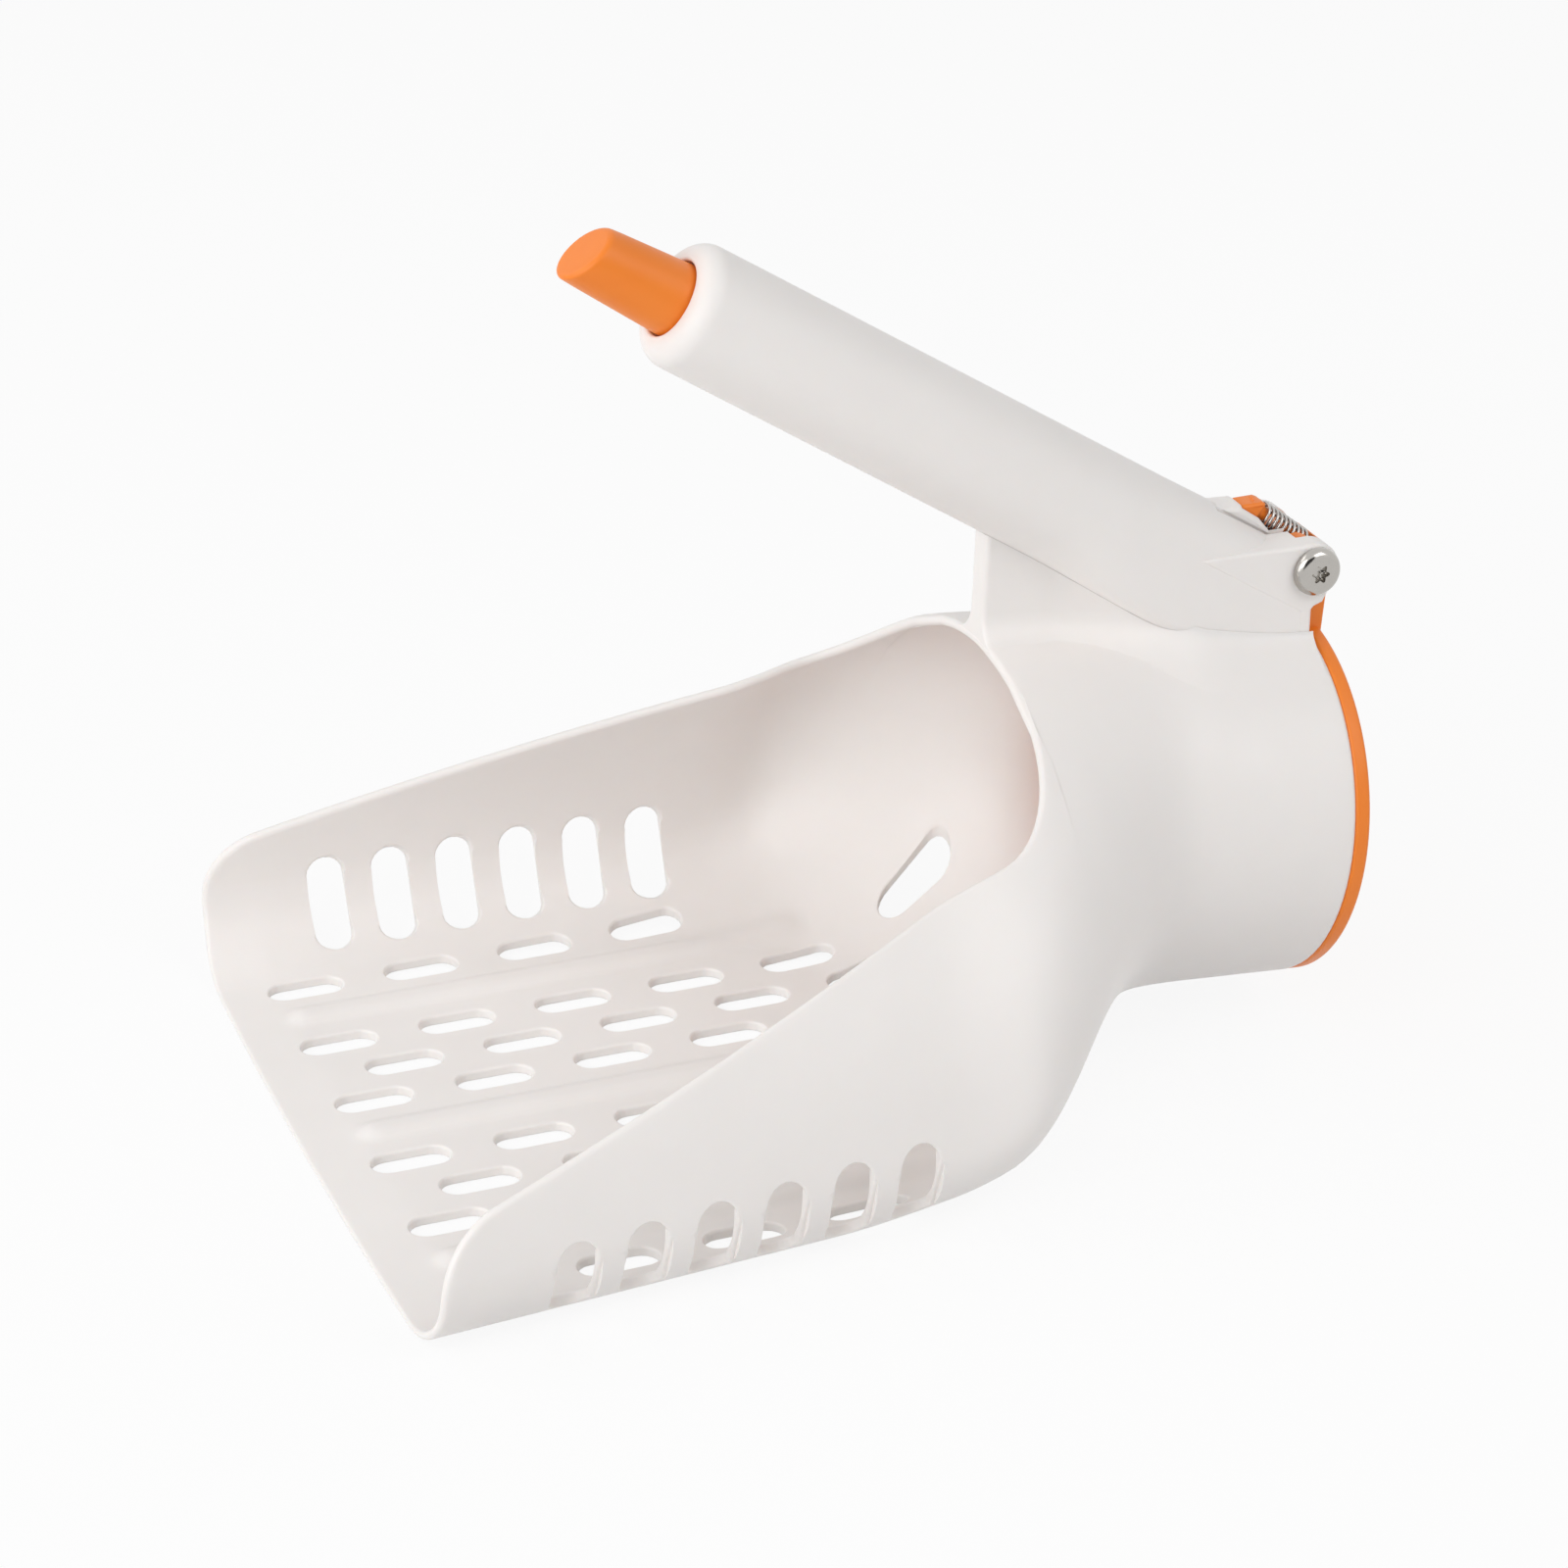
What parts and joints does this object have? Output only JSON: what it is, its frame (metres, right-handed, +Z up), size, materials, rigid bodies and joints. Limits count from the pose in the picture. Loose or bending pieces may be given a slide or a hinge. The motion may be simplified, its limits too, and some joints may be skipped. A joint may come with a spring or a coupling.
{
  "type": "sifting scoop",
  "caption": "Hand-held sifting scoop with a slotted tray, a round pouring neck closed by a sprung flap, and a sloping handle whose thumb button opens the flap.",
  "frame": {"origin": "middle of the part's footprint, on the ground under the tray", "axes": "+X from the lip to the neck, +Z up, +Y to the left when looking along +X"},
  "size_m": [0.215, 0.1698, 0.1809],
  "materials": {
    "white_plastic": "satin off-white moulded plastic",
    "orange_plastic": "satin orange moulded plastic",
    "spring_steel": "bright drawn steel wire",
    "screw_steel": "polished steel"
  },
  "bodies": {
    "scoop": {"scoop_body": "white_plastic", "handle": "white_plastic", "spring_seat": "orange_plastic", "flap_spring": "spring_steel", "hinge_screw_left": "screw_steel", "hinge_screw_right": "screw_steel", "handle_screw_left": "screw_steel", "handle_screw_right": "screw_steel"},
    "plunger": {"push_button": "orange_plastic", "push_rod": "orange_plastic"},
    "outlet_flap": {"flap": "orange_plastic"}
  },
  "joints": [
    {"name": "flap_swing", "type": "hinge", "parent": "scoop", "child": "outlet_flap", "pos_m": [0.10041, 0, 0.09742], "axis": [0, -1, 0], "range_deg": [0, 50], "stiffness_Nm_per_rad": 0.03, "springref_deg": -13.18, "deforming": ["flap_spring"]},
    {"name": "button_push", "type": "slide", "parent": "scoop", "child": "plunger", "axis": [0.8446, 0, -0.5354], "range_m": [0, 0.00887]}
  ],
  "couplings": [
    {"joint": "button_push", "follows": "flap_swing", "m_per_rad": 0.01017}
  ]
}
